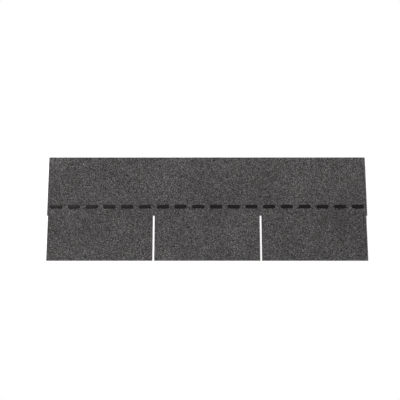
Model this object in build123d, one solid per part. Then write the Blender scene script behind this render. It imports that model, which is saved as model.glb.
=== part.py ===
from build123d import *
import os

# A three-tab asphalt strip shingle, one strip as it is laid on a roof, in millimetres.
#
# The strip lies flat on its back. X runs along the course, Y runs up the slope from the butt edge to the top
# edge, and Z points out of the granule face. The origin is the middle of the back face.
#
# A strip is one sheet: a glass mat coated with asphalt, surfaced with granules and die-cut. Slots cut up from
# the butt edge part the tabs, and half a slot at each end makes a whole one where two strips meet.

# The sheet
strip_length = 1000.0
strip_height = 336.0
strip_thickness = 3.0  # mat, coating and granules together

# The tabs, and the slots that part them
tab_count = 3
exposure = 143.0  # the height of each tab that stays in view once the next course is laid
slot_overrun = 2.0  # how far a slot runs up under the next course
slot_width = 6.0
slot_corner_radius = 1.2

# The self-seal dashes, on the granule face above the slots
nailing_gap = 22.0  # from the slots' closed ends up to the dashes, where the nails go
dashes_per_tab = 6
dash_length = 38.0
dash_width = 12.0
dash_thickness = 0.9
dash_corner_radius = 4.0
dash_bevel = 0.5

# The release film, pressed flush into the back coating
tape_width = 32.0
tape_thickness = 0.1

tab_pitch = strip_length / tab_count
slot_length = exposure + slot_overrun
butt_edge = -strip_height / 2
left_end = -strip_length / 2

dash_pitch = tab_pitch / dashes_per_tab
dash_line = butt_edge + slot_length + nailing_gap + dash_width / 2


def slots():
    """The cut-outs as flat faces: one at each end of every tab, open at the butt edge."""
    blank = Rectangle(slot_width, slot_length, align=(Align.CENTER, Align.MIN))
    closed_end = blank.vertices().group_by(Axis.Y)[-1]
    slot = fillet(closed_end, slot_corner_radius)
    places = [Pos(left_end + i * tab_pitch, butt_edge) for i in range(tab_count + 1)]
    return [place * slot for place in places]


def release_tape():
    """The film, right behind the dashes, because in a pack it lies on those of the strip below."""
    return extrude(Pos(0, dash_line) * Rectangle(strip_length, tape_width), tape_thickness)


def shingle():
    """The die-cut sheet, with the shallow bed that the film makes in its back coating."""
    sheet = extrude(Rectangle(strip_length, strip_height) - slots(), strip_thickness)
    return sheet - release_tape()


def sealant_dash():
    """One dash of sealant as the wheel leaves it: a low pad with rounded corners and a bevelled rim."""
    outline = RectangleRounded(dash_length, dash_width, dash_corner_radius)
    pad = extrude(outline, dash_thickness)
    rim = pad.faces().sort_by(Axis.Z)[-1].edges()
    return chamfer(rim, dash_bevel)


def sealant_dashes():
    """The whole row, centred on the strip, with as many dashes over each tab."""
    dash = sealant_dash()
    count = tab_count * dashes_per_tab
    places = [Pos(left_end + (i + 0.5) * dash_pitch, dash_line, strip_thickness) for i in range(count)]
    return Compound(children=[place * dash for place in places])


os.makedirs("parts", exist_ok=True)
export_step(shingle(), "parts/shingle.step")
export_step(sealant_dashes(), "parts/sealant_dashes.step")
export_step(release_tape(), "parts/release_tape.step")
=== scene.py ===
import math

import bpy
import numpy as np
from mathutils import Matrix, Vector, noise
from mathutils.geometry import delaunay_2d_cdt


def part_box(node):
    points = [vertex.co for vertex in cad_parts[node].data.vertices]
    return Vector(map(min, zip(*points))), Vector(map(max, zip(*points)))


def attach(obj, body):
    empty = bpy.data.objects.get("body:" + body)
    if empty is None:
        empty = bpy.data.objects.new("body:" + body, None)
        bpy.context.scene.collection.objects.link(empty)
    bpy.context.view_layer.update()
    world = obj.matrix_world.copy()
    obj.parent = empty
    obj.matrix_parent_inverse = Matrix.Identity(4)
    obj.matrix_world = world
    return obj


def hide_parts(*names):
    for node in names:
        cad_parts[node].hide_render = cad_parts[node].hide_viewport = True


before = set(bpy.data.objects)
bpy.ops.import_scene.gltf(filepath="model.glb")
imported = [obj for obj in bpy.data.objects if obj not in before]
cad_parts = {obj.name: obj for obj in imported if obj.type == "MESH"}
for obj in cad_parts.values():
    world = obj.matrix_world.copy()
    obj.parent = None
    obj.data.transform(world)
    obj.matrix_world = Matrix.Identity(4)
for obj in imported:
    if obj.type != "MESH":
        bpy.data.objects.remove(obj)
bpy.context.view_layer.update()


# The sheet
# A glass-fibre mat, soaked and coated on both faces with filled asphalt on a running line, then die-cut into
# tabs. The coating stops short of the strip's full thickness, because the stones stand in it.

coating_top = 0.0022
mat_height = 0.0011
mat_thickness = 0.0005
mat_wander = 0.0012  # how far the mat's line strays up and down along a cut
asphalt_colour = (0.0105, 0.0098, 0.0095, 1)


def new_material(name):
    """A material, its node tree, its shader and the object's own coordinates, ready for a pattern."""
    material = bpy.data.materials.new(name)
    material.use_nodes = True
    tree = material.node_tree
    shader = tree.nodes["Principled BSDF"]
    place = tree.nodes.new("ShaderNodeTexCoord").outputs["Object"]
    return material, tree, shader, place


def add(tree, kind, inputs=(), **settings):
    """A new node in a tree. Its inputs are numbers, colours or other nodes' outputs, by name or number."""
    node = tree.nodes.new("ShaderNode" + kind)
    for name, value in settings.items():
        setattr(node, name, value)
    for key, value in dict(inputs).items():
        if isinstance(value, bpy.types.NodeSocket):
            tree.links.new(value, node.inputs[key])
        else:
            node.inputs[key].default_value = value
    return node


def reckon(tree, operation, *values):
    """What a Math node makes of one value or more."""
    return add(tree, "Math", enumerate(values), operation=operation).outputs[0]


def blend_range(tree, value, low, high, to_low=0.0, to_high=1.0):
    """A value taken from one range to another, held at both ends."""
    inputs = {"Value": value, "From Min": low, "From Max": high, "To Min": to_low, "To Max": to_high}
    return add(tree, "MapRange", inputs).outputs["Result"]


def blotches(tree, place, per_metre, detail):
    """Soft random blotches with finer ones in them."""
    return add(tree, "TexNoise", {"Vector": place, "Scale": per_metre, "Detail": detail}).outputs["Fac"]


def grey(value):
    """A plain grey."""
    return (value, value, value, 1)


def ramp(tree, factor, stops, interpolation="LINEAR"):
    """A colour ramp over a factor, from (position, colour) pairs."""
    node = add(tree, "ValToRGB", {"Fac": factor})
    node.color_ramp.interpolation = interpolation
    elements = node.color_ramp.elements
    while len(elements) < len(stops):
        elements.new(1)
    for element, (position, colour) in zip(elements, stops):
        element.position = position
        element.color = colour
    return node.outputs["Color"]


def mix(tree, factor, first, second, blend="MIX"):
    """One colour laid over another. A Mix node's colour sockets share their names, so they go by number."""
    node = add(tree, "Mix", {0: factor, 6: first, 7: second}, data_type="RGBA", blend_type=blend)
    return node.outputs[2]


def raise_bumps(tree, shader, height, depth, strength):
    """Bumps on a surface, from the height of a pattern."""
    bump = add(tree, "Bump", {"Height": height, "Distance": depth, "Strength": strength})
    tree.links.new(bump.outputs["Normal"], shader.inputs["Normal"])


def speck_group():
    """Fine mineral that clings to asphalt: filler, sand and stone dust, each grain with a tone of its own."""
    group = bpy.data.node_groups.new("mineral_specks", "ShaderNodeTree")
    group.interface.new_socket("Place", in_out="INPUT", socket_type="NodeSocketVector")
    group.interface.new_socket("Grains per metre", in_out="INPUT", socket_type="NodeSocketFloat")
    group.interface.new_socket("Cover", in_out="INPUT", socket_type="NodeSocketFloat")
    group.interface.new_socket("Mask", in_out="OUTPUT", socket_type="NodeSocketFloat")
    group.interface.new_socket("Tone", in_out="OUTPUT", socket_type="NodeSocketFloat")
    given = group.nodes.new("NodeGroupInput").outputs
    grains = add(group, "TexVoronoi", {"Vector": given["Place"], "Scale": given["Grains per metre"]})
    luck = add(group, "SeparateColor", {"Color": grains.outputs["Color"]}).outputs
    kept = reckon(group, "LESS_THAN", luck["Red"], given["Cover"])
    shape = blend_range(group, grains.outputs["Distance"], 0.32, 0.52, 1.0, 0.0)
    out = group.nodes.new("NodeGroupOutput").inputs
    group.links.new(reckon(group, "MULTIPLY", kept, shape), out["Mask"])
    group.links.new(luck["Green"], out["Tone"])
    return group


mineral_specks = speck_group()


def specks(tree, place, grains_per_metre, cover):
    """Places the mineral specks in a material. Gives their mask and their tone."""
    node = tree.nodes.new("ShaderNodeGroup")
    node.node_tree = mineral_specks
    tree.links.new(place, node.inputs["Place"])
    node.inputs["Grains per metre"].default_value = grains_per_metre
    node.inputs["Cover"].default_value = cover
    return node.outputs["Mask"], node.outputs["Tone"]


def coating_material():
    """The bare coating between the stones: black, slightly shiny asphalt with stone dust on it."""
    material, tree, shader, place = new_material("asphalt_coating")
    mask, tone = specks(tree, place, grains_per_metre=2600, cover=0.25)
    dust = ramp(tree, tone, [(0.0, (0.03, 0.029, 0.027, 1)), (1.0, (0.09, 0.088, 0.083, 1))])
    tree.links.new(mix(tree, mask, asphalt_colour, dust), shader.inputs["Base Color"])
    lumps = blotches(tree, place, per_metre=900, detail=3)
    tree.links.new(blend_range(tree, lumps, 0.3, 0.7, 0.4, 0.75), shader.inputs["Roughness"])
    raise_bumps(tree, shader, lumps, depth=0.0003, strength=0.6)
    return material


def cut_edge_material():
    """A die-cut edge: dark filled asphalt, torn a little, with the pale ends of the mat's fibres in it."""
    material, tree, shader, place = new_material("die_cut_edge")
    mask, tone = specks(tree, place, grains_per_metre=5200, cover=0.6)
    filler = ramp(tree, tone, [(0.0, (0.012, 0.012, 0.011, 1)), (1.0, (0.075, 0.072, 0.066, 1))])
    asphalt = mix(tree, mask, (0.016, 0.015, 0.0145, 1), filler)

    tear = blotches(tree, place, per_metre=320, detail=4)
    mat_line = reckon(tree, "MULTIPLY_ADD", tear, mat_wander, mat_height - mat_wander / 2)
    height = add(tree, "SeparateXYZ", {"Vector": place}).outputs["Z"]
    away = reckon(tree, "ABSOLUTE", reckon(tree, "SUBTRACT", height, mat_line))
    in_mat = blend_range(tree, away, mat_thickness * 0.25, mat_thickness * 0.6, 1.0, 0.0)
    fibre_ends = blend_range(tree, blotches(tree, place, per_metre=4200, detail=2), 0.47, 0.62)
    showing = reckon(tree, "MULTIPLY", in_mat, fibre_ends)

    tree.links.new(mix(tree, showing, asphalt, (0.21, 0.2, 0.175, 1)), shader.inputs["Base Color"])
    shader.inputs["Roughness"].default_value = 0.62
    raise_bumps(tree, shader, tear, depth=0.0006, strength=0.8)
    return material


def back_material():
    """The back: asphalt dusted with fine sand, thicker in some places, so that packed strips part."""
    material, tree, shader, place = new_material("sanded_back")
    mask, tone = specks(tree, place, grains_per_metre=1900, cover=0.82)
    sand = ramp(tree, tone, [
        (0.0, (0.035, 0.034, 0.032, 1)),
        (0.7, (0.085, 0.082, 0.077, 1)),
        (1.0, (0.2, 0.19, 0.175, 1)),
    ])
    dusted = mix(tree, mask, asphalt_colour, sand)
    drifts = blotches(tree, place, per_metre=14, detail=5)
    shade = ramp(tree, drifts, [(0.3, grey(0.72)), (0.7, (1.2, 1.19, 1.17, 1))])
    tree.links.new(mix(tree, 1.0, dusted, shade, "MULTIPLY"), shader.inputs["Base Color"])
    tree.links.new(blend_range(tree, mask, 0.0, 1.0, 0.5, 0.9), shader.inputs["Roughness"])
    raise_bumps(tree, shader, mask, depth=0.00025, strength=0.7)
    return material


def only_selected(piece):
    """Selects one object and nothing else, as every operator needs."""
    if bpy.context.object is not None and bpy.context.object.mode != "OBJECT":
        bpy.ops.object.mode_set(mode="OBJECT")
    bpy.ops.object.select_all(action="DESELECT")
    piece.select_set(True)
    bpy.context.view_layer.objects.active = piece


sheet = bpy.data.objects.new("asphalt_sheet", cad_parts["shingle"].data.copy())
bpy.context.scene.collection.objects.link(sheet)
only_selected(sheet)
bpy.ops.mesh.customdata_custom_splitnormals_clear()
bpy.ops.object.mode_set(mode="EDIT")
bpy.ops.mesh.select_all(action="SELECT")
bpy.ops.mesh.remove_doubles(threshold=1e-6)
bpy.ops.mesh.dissolve_limited(angle_limit=math.radians(1))
bpy.ops.mesh.select_all(action="DESELECT")
bpy.ops.object.mode_set(mode="OBJECT")

# the copy's top goes down from the tops of the stones to the coating
strip_low, strip_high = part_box("shingle")
for vertex in sheet.data.vertices:
    vertex.select = vertex.co.z > strip_high.z - 1e-5
bpy.ops.object.mode_set(mode="EDIT")
bpy.ops.mesh.select_mode(type="VERT")
bpy.ops.transform.translate(value=(0, 0, coating_top - strip_high.z))
bpy.ops.object.mode_set(mode="OBJECT")

sheet.data.materials.clear()
for material in (coating_material(), cut_edge_material(), back_material()):
    sheet.data.materials.append(material)
for face in sheet.data.polygons:
    face.use_smooth = False
    face.material_index = 1 - round(face.normal.z)  # coating on top, cut edges round it, sand on the back

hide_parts("shingle")
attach(sheet, "root")


# The stones
# Crushed rock, fired with a ceramic colour, dropped on the hot coating and rolled in. Each stone is one low
# faceted pyramid on an uneven patch of its own. Low in the cracks between them the colour turns asphalt
# black:
# partly the asphalt that is really there, partly painted shade that deepens the cracks.

stone_spacing = 0.00152
seed_wander = 0.42  # of the spacing, each way from an even honeycomb
lost_share = 0.1  # places with no stone, so that those round it are larger
edge_gap_low, edge_gap_high = 0.15, 0.4  # of the spacing, from a cut to the seeds next to it
bed_floor = coating_top - 0.0001
crack_low, crack_high = 0.00222, 0.00245
# the black that runs up a stone's flanks is partly real asphalt and partly painted shade in the cracks
asphalt_and_crack_shade_reach = crack_high + 0.00006  # how high the asphalt's black runs up a stone
cut_low, cut_high = 0.0025, 0.00285  # the die slices stones through, so the crust stands high at a cut
crown_low, crown_high = 0.00262, 0.00299
crown_wander = 0.16  # of the spacing
size_share = 0.45  # how much of a crown's height comes from the stone's size, and the rest is luck
bare_share = 0.012  # places where a stone has come off and the asphalt shows
tab_count = 3
slot_width = 0.006
slot_length = 0.145


def stone_material():
    """The stones' colours: a tone and a tint for each stone, and a slow drift over the whole blend."""
    material, tree, shader, place = new_material("ceramic_coated_stones")
    tone = add(tree, "Attribute", attribute_name="stone_tone").outputs["Fac"]
    tint = add(tree, "Attribute", attribute_name="stone_tint").outputs["Fac"]
    stone = ramp(tree, tone, [
        (0.0, (0.0135, 0.0129, 0.0131, 1)),
        (0.26, (0.044, 0.0423, 0.043, 1)),
        (0.56, (0.104, 0.1, 0.1016, 1)),
        (0.8, (0.187, 0.1811, 0.1832, 1)),
        (0.95, (0.312, 0.3045, 0.3065, 1)),
    ], "CONSTANT")
    warmth = ramp(tree, tint, [
        (0.0, (1.03, 1.0, 0.95, 1)),
        (0.5, (1.0, 1.0, 1.0, 1)),
        (1.0, (0.98, 0.995, 1.04, 1)),
    ])
    hue = ramp(tree, blotches(tree, place, per_metre=26, detail=3), [
        (0.36, (1.01, 1.0, 0.965, 1)),
        (0.5, (1.0, 0.985, 0.995, 1)),
        (0.64, (1.0, 0.98, 1.01, 1)),
    ])
    cloud = add(tree, "TexNoise", {"Vector": place, "W": 1.3, "Scale": 6, "Detail": 4}, noise_dimensions="4D")
    shade = ramp(tree, cloud.outputs["Fac"], [(0.3, grey(0.8)), (0.7, grey(1.2))])
    grain = blotches(tree, place, per_metre=3400, detail=2)
    mottle = ramp(tree, grain, [(0.3, grey(0.78)), (0.7, grey(1.2))])
    for layer in (warmth, hue, shade, mottle):
        stone = mix(tree, 1.0, stone, layer, "MULTIPLY")

    # painted shade: low on each stone its colour goes to asphalt black, partly the asphalt between the stones
    # and partly shade painted into the cracks
    height = add(tree, "SeparateXYZ", {"Vector": place}).outputs["Z"]
    clear = blend_range(tree, height, crack_low, asphalt_and_crack_shade_reach)
    tree.links.new(mix(tree, clear, asphalt_colour, stone), shader.inputs["Base Color"])
    tree.links.new(blend_range(tree, tint, 0.0, 1.0, 0.6, 0.95), shader.inputs["Roughness"])
    shader.inputs["Specular IOR Level"].default_value = 0.3
    raise_bumps(tree, shader, grain, depth=0.00008, strength=0.6)
    return material


def scatter(low, high, draws):
    """Seeds of stones over a rectangle: an uneven honeycomb with some places left out."""
    low, high = np.array(low), np.array(high)
    honeycomb = (1, math.sqrt(3) / 2)  # from column to column and from row to row, in spacings
    columns, rows = np.round((high - low) / stone_spacing / honeycomb).astype(int)
    row, column = np.meshgrid(np.arange(rows), np.arange(columns), indexing="ij")
    seeds = np.stack([(column + 0.25 + row % 2 / 2) / columns, (row + 0.5) / rows], axis=-1).reshape(-1, 2)
    seeds = low + seeds * (high - low) + draws.uniform(-seed_wander, seed_wander, seeds.shape) * stone_spacing
    margin = stone_spacing * draws.uniform(edge_gap_low, edge_gap_high, seeds.shape)
    seeds = np.clip(seeds, low + margin, high - margin)
    return seeds[draws.random(len(seeds)) > lost_share]


def twins(seeds, axis, edge, start=-math.inf, end=math.inf):
    """Mirror images of the seeds along a cut, so that the line half way between them is the cut itself.

    They reach less than half way over a slot, so that those of its two sides don't meet.
    """
    along = seeds[:, 1 - axis]
    near = (np.abs(seeds[:, axis] - edge) < slot_width * 0.45) & (along > start) & (along < end)
    mirrored = seeds[near].copy()
    mirrored[:, axis] = 2 * edge - mirrored[:, axis]
    return mirrored


def cell_corners(seeds, mirrored):
    """The patch of strip that is nearer to each seed than to any other seed or mirrored one.

    Gives the patches' corner points, which of them lie on a cut, and the patches' sides: for each side its
    seed, the corner it starts from and the corner it runs to, anticlockwise.
    """
    # in millimetres, which the triangulation's own tolerance suits
    points = np.concatenate([seeds, mirrored]) * 1000
    found = delaunay_2d_cdt([Vector(point) for point in points.tolist()], [], [], 0, 1e-6, False)
    triangles = np.array(found[2])

    # a corner is the middle of the circle through a triangle's three seeds
    a, b, c = (points[triangles[:, i]] for i in range(3))
    ab, ac = b - a, c - a
    area = 2 * (ab[:, 0] * ac[:, 1] - ab[:, 1] * ac[:, 0])
    ab_square, ac_square = (ab ** 2).sum(axis=1), (ac ** 2).sum(axis=1)
    x = a[:, 0] + (ac[:, 1] * ab_square - ab[:, 1] * ac_square) / area
    y = a[:, 1] + (ab[:, 0] * ac_square - ac[:, 0] * ab_square) / area
    centres, corner_of = np.unique(np.round(np.stack([x, y], axis=1), 4), axis=0, return_inverse=True)
    corner_of = corner_of.ravel()
    on_cut = np.zeros(len(centres), bool)
    on_cut[corner_of[(triangles >= len(seeds)).any(axis=1)]] = True

    # the corners round each seed, in the order of their bearings
    seed = triangles.ravel()
    corner = np.repeat(corner_of, 3)
    ours = seed < len(seeds)
    seed, corner = seed[ours], corner[ours]
    spoke = centres[corner] - points[seed]
    order = np.lexsort((np.arctan2(spoke[:, 1], spoke[:, 0]), seed))
    seed, corner = seed[order], corner[order]
    first = np.flatnonzero(np.diff(seed, prepend=-1))
    following = np.roll(corner, -1)
    following[np.append(first[1:], len(seed)) - 1] = corner[first]
    real = corner != following
    return centres / 1000, on_cut, seed[real], corner[real], following[real]


# seeds are scattered over each tab and over the headlap, and mirrored along every cut
draws = np.random.default_rng(41)
tab_pitch = (strip_high.x - strip_low.x) / tab_count
slots_end = strip_low.y + slot_length
slot_middles = [strip_low.x + i * tab_pitch for i in range(tab_count + 1)]
seeds, mirrored = [], []
for i in range(tab_count):
    left, right = slot_middles[i] + slot_width / 2, slot_middles[i + 1] - slot_width / 2
    on_tab = scatter((left, strip_low.y), (right, slots_end), draws)
    seeds.append(on_tab)
    mirrored += [twins(on_tab, 0, left), twins(on_tab, 0, right), twins(on_tab, 1, strip_low.y)]
on_headlap = scatter((strip_low.x, slots_end), strip_high[:2], draws)
seeds.append(on_headlap)
mirrored += [twins(on_headlap, 0, strip_low.x), twins(on_headlap, 0, strip_high.x)]
mirrored.append(twins(on_headlap, 1, strip_high.y))
for middle in slot_middles:
    mirrored.append(twins(on_headlap, 1, slots_end, middle - slot_width / 2, middle + slot_width / 2))
seeds = np.concatenate(seeds)
corners, on_cut, seed, corner, following = cell_corners(seeds, np.concatenate(mirrored))

# a corner that strays past the outline goes back to it, in a slot to the nearer of its side and its end
corners = np.clip(corners, strip_low[:2], strip_high[:2])
for middle in slot_middles:
    aside = corners[:, 0] - middle
    over_side = slot_width / 2 - np.abs(aside)
    over_end = slots_end - corners[:, 1]
    inside = (over_side > 0) & (over_end > 0)
    to_side = inside & (over_side < over_end)
    corners[to_side, 0] = middle + np.sign(aside[to_side]) * slot_width / 2
    corners[inside & ~to_side, 1] = slots_end

# a crown stands near the middle of its patch, and as a rule higher on a larger one
ring_size = np.bincount(seed, minlength=len(seeds))
a, b = corners[corner], corners[following]
patch_area = np.bincount(seed, (a[:, 0] * b[:, 1] - a[:, 1] * b[:, 0]) / 2, len(seeds))
crowns = np.stack([np.bincount(seed, a[:, i], len(seeds)) / ring_size for i in (0, 1)], axis=1)
crowns += draws.uniform(-crown_wander, crown_wander, crowns.shape) * stone_spacing
largeness = np.clip(patch_area / np.median(patch_area) - 0.5, 0, 1)
crown_rise = size_share * largeness + (1 - size_share) * draws.random(len(seeds))
crown_z = crown_low + (crown_high - crown_low) * crown_rise
crown_z[draws.random(len(seeds)) < bare_share] = crack_high
corner_z = draws.uniform(np.where(on_cut, cut_low, crack_low), np.where(on_cut, cut_high, crack_high))
stone_tone = draws.random(len(seeds))
stone_tint = draws.random(len(seeds))
ceramic_stones = stone_material()


def stone_bed(name, low, high):
    """The stones whose seeds lie between two corners, on one closed crust that dips into the coating."""
    mine = ((seeds >= low) & (seeds < high)).all(axis=1)[seed]
    used_corners, sides = np.unique(np.stack([corner[mine], following[mine]], axis=1), return_inverse=True)
    sides = sides.reshape(-1, 2)
    used_seeds, crown = np.unique(seed[mine], return_inverse=True)
    facets = np.column_stack([sides, crown.ravel() + len(used_corners)])

    # a side that no neighbour shares, running the other way, is on the rim, and a skirt hangs from it
    forth = sides[:, 0] * len(used_corners) + sides[:, 1]
    back = sides[:, 1] * len(used_corners) + sides[:, 0]
    open_sides = dict(sides[~np.isin(forth, back)].tolist())
    rim = [next(iter(open_sides))]
    while len(rim) < len(open_sides):
        rim.append(open_sides[rim[-1]])
    under = len(used_corners) + len(used_seeds) + np.arange(len(rim))
    skirt = np.stack([rim, under, np.roll(under, -1), np.roll(rim, -1)], axis=1)

    points = np.concatenate([
        np.column_stack([corners[used_corners], corner_z[used_corners]]),
        np.column_stack([crowns[used_seeds], crown_z[used_seeds]]),
        np.column_stack([corners[used_corners][rim], np.full(len(rim), bed_floor)]),
    ])
    mesh = bpy.data.meshes.new(name)
    mesh.from_pydata(points.tolist(), [], [*facets.tolist(), *skirt.tolist(), under[::-1].tolist()])
    for kind, values in (("stone_tone", stone_tone), ("stone_tint", stone_tint)):
        shown = np.full(len(mesh.polygons), 0.1, np.float32)
        shown[:len(facets)] = values[seed[mine]]
        mesh.attributes.new(kind, "FLOAT", "FACE").data.foreach_set("value", shown)
    mesh.materials.append(ceramic_stones)

    # a map for the bake: the facets as seen from above, and what is hidden under them in one corner
    at = np.zeros(len(mesh.loops), np.int32)
    mesh.loops.foreach_get("vertex_index", at)
    spread = points[:, :2] - points[:, :2].min(axis=0)
    spread = spread[at] / spread.max()
    chart = 0.004 + 0.99 * spread
    hidden = np.arange(len(at)) >= facets.size
    chart[hidden] = 0.003 * spread[hidden]
    mesh.uv_layers.new(name="OFBake").data.foreach_set("uv", chart.astype(np.float32).ravel())

    bed = bpy.data.objects.new(name, mesh)
    bpy.context.scene.collection.objects.link(bed)
    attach(bed, "root")


for i, side in enumerate(("left", "middle", "right")):
    stone_bed(f"stones_tab_{side}", (slot_middles[i], strip_low.y), (slot_middles[i + 1], slots_end))
    stone_bed(f"stones_headlap_{side}", (slot_middles[i], slots_end), (slot_middles[i + 1], strip_high.y))


# The sealant
# A row of dashes of soft bitumen, printed hot across the strip above its slots. The sun melts them on the
# roof, and they glue down the tabs of the next course. They sit in the stones and stand a little proud.

dash_count = 18
dash_length = 0.038
dash_corner = 0.0042
dash_foot = crack_high
dash_slopes = ((0.0004, 0.0004), (0.0008, 0.0002), (0.001, 0.0001))  # inwards and up, from the rim
rim_wander = 0.0007
wander_spacing = 0.006
lump_spacing = 0.0024
lump_depth = 0.0003
score_spacing = 0.001  # between the cuts that let a dash follow its lumps


def sealant_material():
    """Black bitumen, lumpy from the stones under it, with a low shine and a little dust on it."""
    material, tree, shader, place = new_material("sealant_bitumen")
    mask, tone = specks(tree, place, grains_per_metre=2200, cover=0.12)
    dust = ramp(tree, tone, [(0.0, (0.025, 0.024, 0.023, 1)), (1.0, (0.07, 0.068, 0.064, 1))])
    tree.links.new(mix(tree, mask, (0.009, 0.0077, 0.0081, 1), dust), shader.inputs["Base Color"])
    lumps = blotches(tree, place, per_metre=420, detail=3)
    tree.links.new(blend_range(tree, lumps, 0.3, 0.7, 0.14, 0.36), shader.inputs["Roughness"])
    shader.inputs["Specular IOR Level"].default_value = 0.05
    raise_bumps(tree, shader, lumps, depth=0.0005, strength=0.5)
    return material


row_low, row_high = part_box("sealant_dashes")
dash_width = row_high.y - row_low.y
dash_step = (row_high.x - row_low.x - dash_length) / (dash_count - 1)
crown_height = sum(up for inwards, up in dash_slopes)
crown_half = dash_width / 2 - sum(inwards for inwards, up in dash_slopes)
rim_height = row_high.z - crown_height - dash_foot

bpy.ops.mesh.primitive_cube_add(size=1, location=(0, 0, 0))
dash = bpy.context.object
only_selected(dash)
bpy.ops.object.mode_set(mode="EDIT")
bpy.ops.mesh.select_all(action="SELECT")
bpy.ops.transform.translate(value=(0, 0, 0.5))
bpy.ops.transform.resize(value=(dash_length, dash_width, rim_height), center_override=(0, 0, 0))
bpy.ops.object.mode_set(mode="OBJECT")


def pick(piece, kind, chosen):
    """Selects the edges or faces that pass a test, ready for an edit."""
    only_selected(piece)
    bpy.ops.object.mode_set(mode="EDIT")
    bpy.ops.mesh.select_mode(type=kind)
    bpy.ops.mesh.select_all(action="DESELECT")
    bpy.ops.object.mode_set(mode="OBJECT")
    for element in piece.data.edges if kind == "EDGE" else piece.data.polygons:
        element.select = chosen(element)
    bpy.ops.object.mode_set(mode="EDIT")


def score(piece, across, reach, chosen):
    """Cuts the chosen faces into even strips, by planes square to one direction."""
    count = int(reach / score_spacing)
    for i in range(-count, count + 1):
        pick(piece, "FACE", chosen)
        bpy.ops.mesh.bisect(plane_co=i * score_spacing * across, plane_no=across)


def is_upright(edge):
    """Whether an edge of the dash runs up its side."""
    low, high = sorted(dash.data.vertices[i].co.z for i in edge.vertices)
    return high - low > rim_height / 2


def is_top(face):
    """Whether a face of the dash looks up."""
    return face.normal.z > 0.9


def is_shown(face):
    """Whether a face of the dash isn't its foot."""
    return face.normal.z > -0.5


pick(dash, "EDGE", is_upright)
bpy.ops.mesh.bevel(offset=dash_corner, offset_type="OFFSET", segments=4)
score(dash, Vector((1, 0, 0)), dash_length / 2 - score_spacing / 2, is_shown)
pick(dash, "FACE", is_top)
for inwards, up in dash_slopes:
    bpy.ops.mesh.inset(thickness=inwards, depth=up)
score(dash, Vector((0, 1, 0)), crown_half, is_top)
bpy.ops.object.mode_set(mode="OBJECT")


def unevenness(x, y, spacing, level):
    """A smooth value from -1 to 1 that wanders over a dash, in another way on each level."""
    return noise.noise((x / spacing, y / spacing, level))


# each copy is uneven on levels of its own, which its number picks
copies = []
for i in range(dash_count):
    twin = dash.copy()
    twin.data = dash.data.copy()
    bpy.context.scene.collection.objects.link(twin)
    middle = Vector((row_low.x + dash_length / 2 + i * dash_step, (row_low.y + row_high.y) / 2, dash_foot))
    for vertex in twin.data.vertices:
        x, y, z = vertex.co
        drift_x = rim_wander * unevenness(x, y, wander_spacing, i * 3.7 + 0.4)
        drift_y = rim_wander * unevenness(x, y, wander_spacing, i * 3.7 + 100.4)
        lump = (unevenness(x, y, lump_spacing, i * 5.3) - 1) / 2
        crown_share = max(0, (z - rim_height) / crown_height)
        vertex.co += middle + Vector((drift_x, drift_y, lump_depth * crown_share * lump))
    copies.append(twin)
bpy.data.objects.remove(dash)
only_selected(copies[0])
for twin in copies:
    twin.select_set(True)
bpy.ops.object.join()
dashes = bpy.context.object
dashes.name = "sealant_row"
dashes.data.materials.clear()
dashes.data.materials.append(sealant_material())
bpy.ops.object.shade_smooth_by_angle(angle=math.radians(50))
bpy.ops.object.modifier_add(type="WEIGHTED_NORMAL")
bpy.ops.object.modifier_apply(modifier=dashes.modifiers[-1].name)
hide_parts("sealant_dashes")
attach(dashes, "root")


# The release film
# A strip of siliconed film, laid into the hot coating of the back so that the dashes of the strip below
# don't stick to it in the pack. It stays on when the strip is laid.


def film_material():
    """Thin milky film over black asphalt: silver grey, shiny, with fine creases along it."""
    material, tree, shader, place = new_material("siliconed_film")
    stretched = add(tree, "Mapping", {"Vector": place, "Scale": (12, 160, 1)}).outputs["Vector"]
    creases = add(tree, "TexNoise", {"Vector": stretched, "Scale": 3, "Detail": 4}).outputs["Fac"]
    colour = ramp(tree, creases, [(0.3, (0.33, 0.34, 0.35, 1)), (0.7, (0.47, 0.48, 0.49, 1))])
    tree.links.new(colour, shader.inputs["Base Color"])
    tree.links.new(blend_range(tree, creases, 0.3, 0.7, 0.22, 0.4), shader.inputs["Roughness"])
    raise_bumps(tree, shader, creases, depth=0.0002, strength=0.5)
    return material


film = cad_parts["release_tape"]
film.data.materials.clear()
film.data.materials.append(film_material())


# The studio
# A pale floor that stays white behind the strip and keeps its shadow, a large soft lamp from the upper
# left, and light from all round.

focal_pixels = 1145
frame_pixels = 400
camera_tilt = math.radians(17)  # away from straight down
camera_distance = 3.594
looked_at = Vector((-0.022, 0.0274, 0.0))
floor_size = 24
floor_gap = 0.0002  # under the strip, so that its back and the floor don't share a plane
floor_lit = grey(0.8)
floor_seen = grey(1.16)  # by the camera, so that it shows white in this light
white_from, white_beyond = 0.015, 0.08  # away from the strip, where the floor turns to plain white
sky_light = 0.5
sky_seen = 1.0
lamp_place = Vector((-1.2, 1.6, 2.8))
lamp_size = 1.2
lamp_power = 91

camera_data = bpy.data.cameras.new("camera")
camera_data.sensor_width = 36
camera_data.lens = camera_data.sensor_width * focal_pixels / frame_pixels
camera_data.clip_end = 100
camera = bpy.data.objects.new("camera", camera_data)
bpy.context.scene.collection.objects.link(camera)
camera.location = looked_at + camera_distance * Vector((0, -math.sin(camera_tilt), math.cos(camera_tilt)))
camera.rotation_euler = (camera_tilt, 0, 0)
bpy.context.scene.camera = camera


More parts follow.
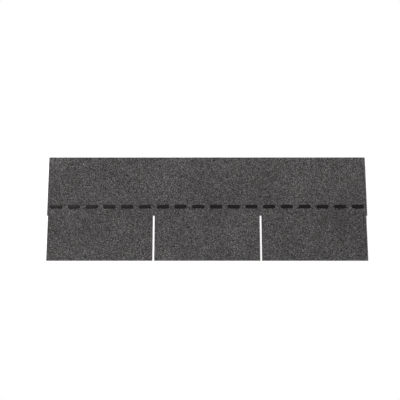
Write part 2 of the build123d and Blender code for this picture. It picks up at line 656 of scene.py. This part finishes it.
def seen_ray(tree):
    """1 for what the camera sees, also by way of metal, gloss or glass, and 0 for light falling on things."""
    kinds = tree.nodes.new("ShaderNodeLightPath").outputs
    sent_on = reckon(tree, "MAXIMUM", kinds["Is Glossy Ray"], kinds["Is Transmission Ray"])
    return reckon(tree, "MAXIMUM", kinds["Is Camera Ray"], sent_on)


bpy.ops.mesh.primitive_plane_add(size=floor_size, location=(0, 0, -floor_gap))
floor = bpy.context.object
floor.name = "floor"
material, tree, shader, place = new_material("pale_floor")
tree.nodes.remove(shader)
seen = seen_ray(tree)
lit = add(tree, "BsdfDiffuse", {"Color": mix(tree, seen, floor_lit, floor_seen)})
from_middle = add(tree, "VectorMath", {0: place}, operation="ABSOLUTE").outputs[0]
past_side = add(tree, "VectorMath", {0: from_middle, 1: strip_high}, operation="SUBTRACT").outputs[0]
outside = add(tree, "VectorMath", {0: past_side, 1: (0, 0, 0)}, operation="MAXIMUM").outputs[0]
away = add(tree, "VectorMath", {0: outside}, operation="LENGTH").outputs["Value"]
beyond = blend_range(tree, away, white_from, white_beyond)
glow = add(tree, "Emission", {"Color": grey(1), "Strength": seen})
shown = add(tree, "MixShader", {0: beyond, 1: lit.outputs[0], 2: glow.outputs[0]})
tree.links.new(shown.outputs[0], tree.nodes["Material Output"].inputs["Surface"])
floor.data.materials.append(material)

world = bpy.data.worlds.new("studio")
bpy.context.scene.world = world
world.use_nodes = True
sky = world.node_tree
strength = blend_range(sky, seen_ray(sky), 0.0, 1.0, sky_light, sky_seen)
sky.links.new(strength, sky.nodes["Background"].inputs["Strength"])
sky.nodes["Background"].inputs["Color"].default_value = grey(1)

lamp_data = bpy.data.lights.new("soft_key", "AREA")
lamp_data.shape = "DISK"
lamp_data.size = lamp_size
lamp_data.energy = lamp_power
lamp = bpy.data.objects.new("soft_key", lamp_data)
bpy.context.scene.collection.objects.link(lamp)
lamp.location = lamp_place
lamp.rotation_euler = (looked_at - lamp_place).to_track_quat("-Z", "Y").to_euler()

bpy.context.scene.view_settings.view_transform = "Standard"

bpy.context.view_layer.update()
